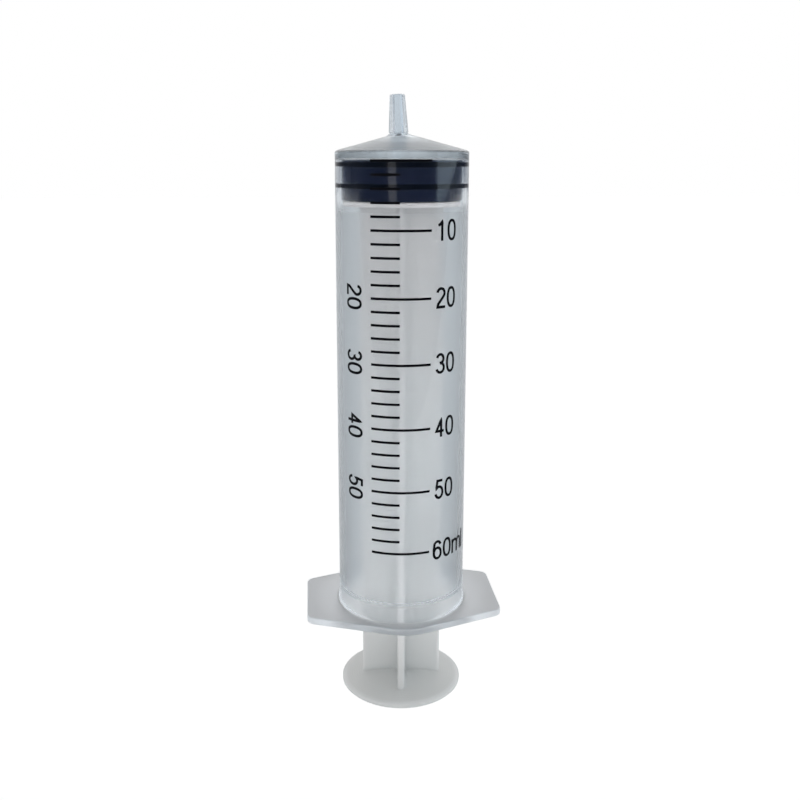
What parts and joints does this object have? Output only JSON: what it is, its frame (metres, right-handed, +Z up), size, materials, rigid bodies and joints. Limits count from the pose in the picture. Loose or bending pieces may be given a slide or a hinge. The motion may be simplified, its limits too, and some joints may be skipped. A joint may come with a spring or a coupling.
{
  "type": "luer slip syringe",
  "caption": "Disposable syringe: graduated translucent barrel with finger flange and slip nozzle, cross-ribbed plunger rod with thumb disc, and rubber stopper.",
  "frame": {"origin": "floor under the centre of the thumb disc, in the plane of the disc's rim", "axes": "+Z up the barrel to the nozzle, +X along the finger flange, -Y out of the side that carries the scale"},
  "size_m": [0.048, 0.0372, 0.1475],
  "materials": {
    "barrel_plastic": "smooth translucent polypropylene, slightly milky",
    "rod_plastic": "satin milky polypropylene",
    "stopper_rubber": "smooth oiled rubber, near black",
    "scale_ink": "flat black printed ink"
  },
  "bodies": {
    "barrel": {"barrel": "barrel_plastic", "graduation_marks": "scale_ink"},
    "stopper": {"stopper": "stopper_rubber"},
    "plunger_rod": {"plunger_rod": "rod_plastic"}
  },
  "joints": [
    {"name": "plunger_slide", "type": "slide", "parent": "barrel", "child": "stopper", "axis": [0, 0, -1], "range_m": [0, 0.0942]},
    {"name": "plunger_spin", "type": "hinge", "parent": "stopper", "child": "plunger_rod", "pos_m": [0, 0, 0.125], "axis": [0, 0, 1], "continuous": true}
  ]
}
